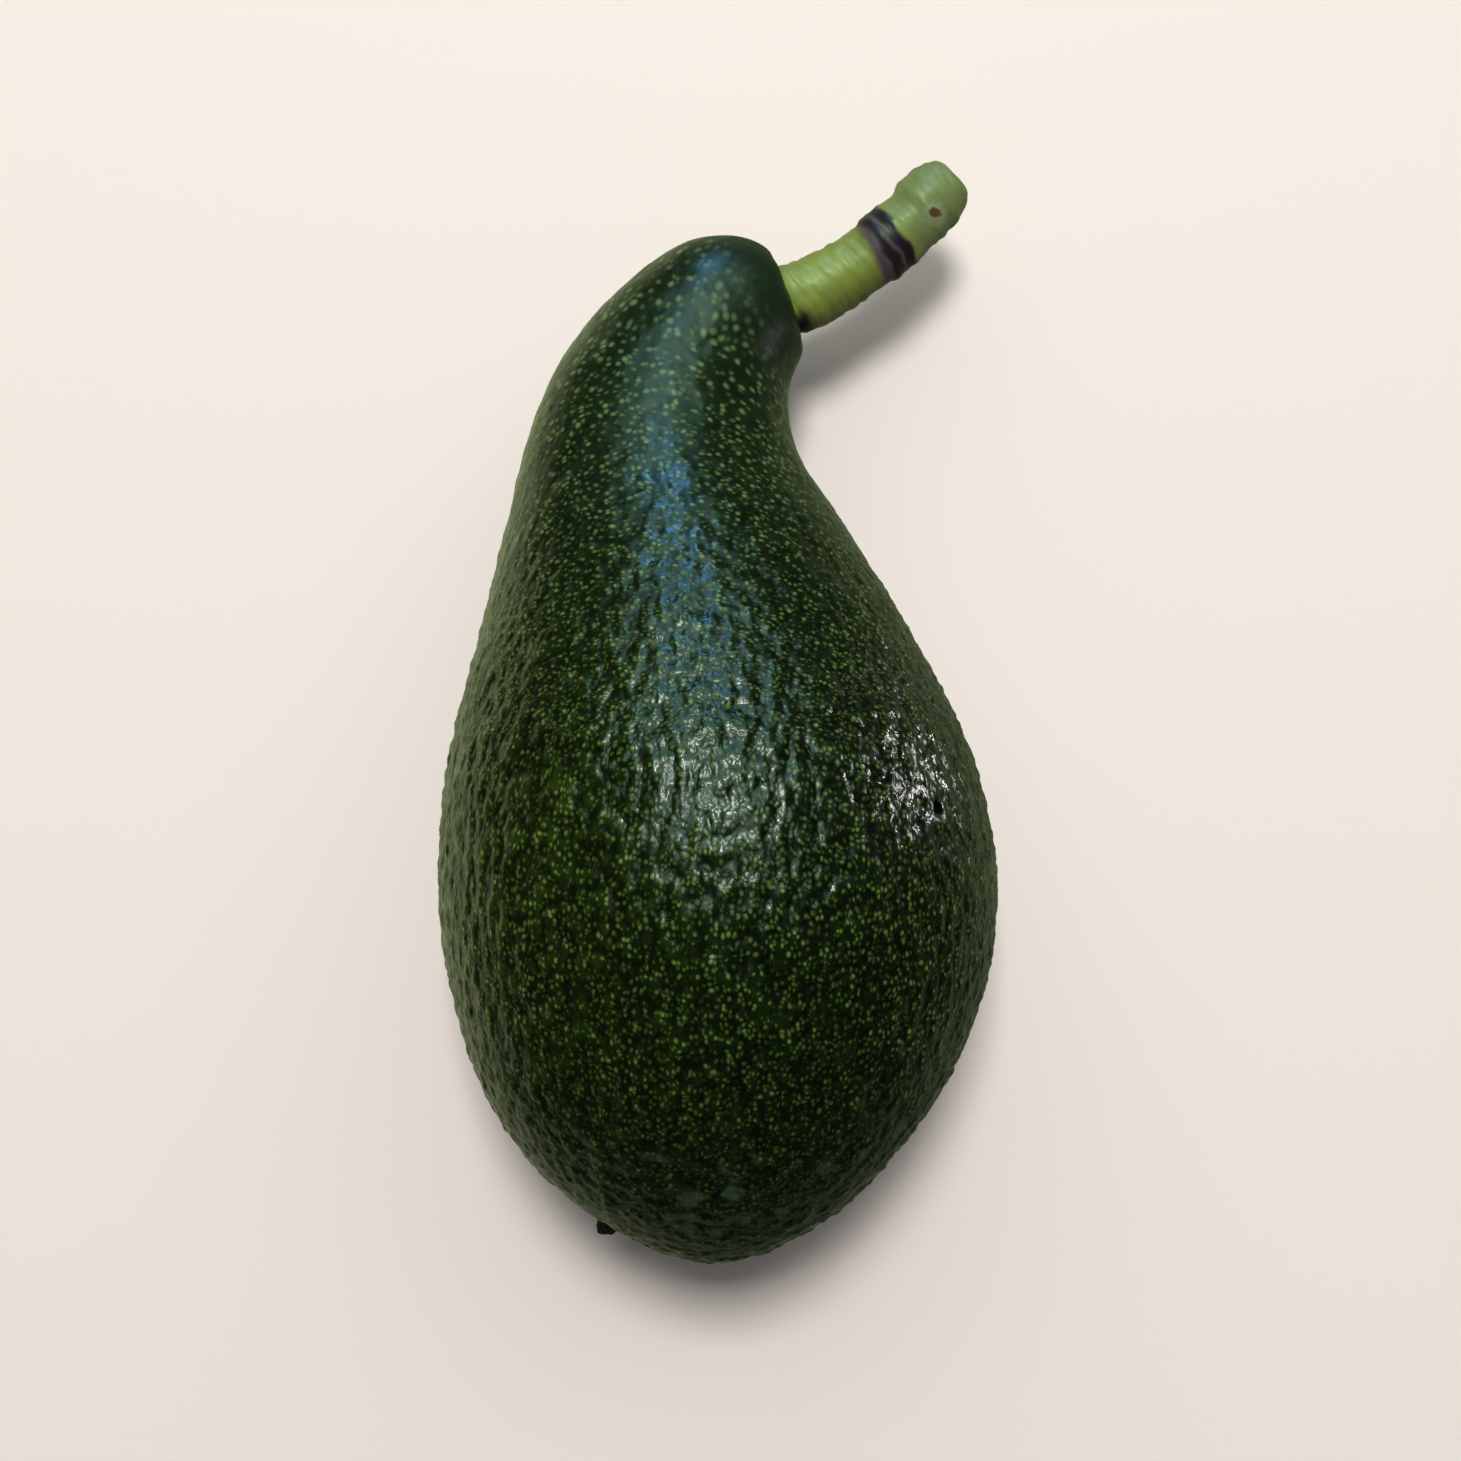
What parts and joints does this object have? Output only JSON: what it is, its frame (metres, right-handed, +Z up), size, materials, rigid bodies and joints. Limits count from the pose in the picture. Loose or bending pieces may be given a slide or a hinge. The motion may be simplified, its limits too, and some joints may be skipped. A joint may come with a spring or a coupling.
{
  "type": "avocado",
  "caption": "Fresh dark green avocado, pear shaped with a long curved neck and its cut stalk still on, lying on its side.",
  "frame": {"origin": "middle of the small flat spot on the underside that the fruit lies on", "axes": "+Z up, +Y along the fruit from its blossom end towards its neck and stalk, +X to the side that the neck curls to"},
  "size_m": [0.068, 0.1369, 0.065],
  "materials": {
    "green_skin": "dark green pebbled rind with small yellow-green dots, waxy and softly glossy",
    "stalk_green": "fresh green stalk, smooth with fine cross wrinkles, and a purple-black ring"
  },
  "bodies": {
    "root": {"fruit": "green_skin", "stem": "stalk_green"}
  },
  "joints": []
}
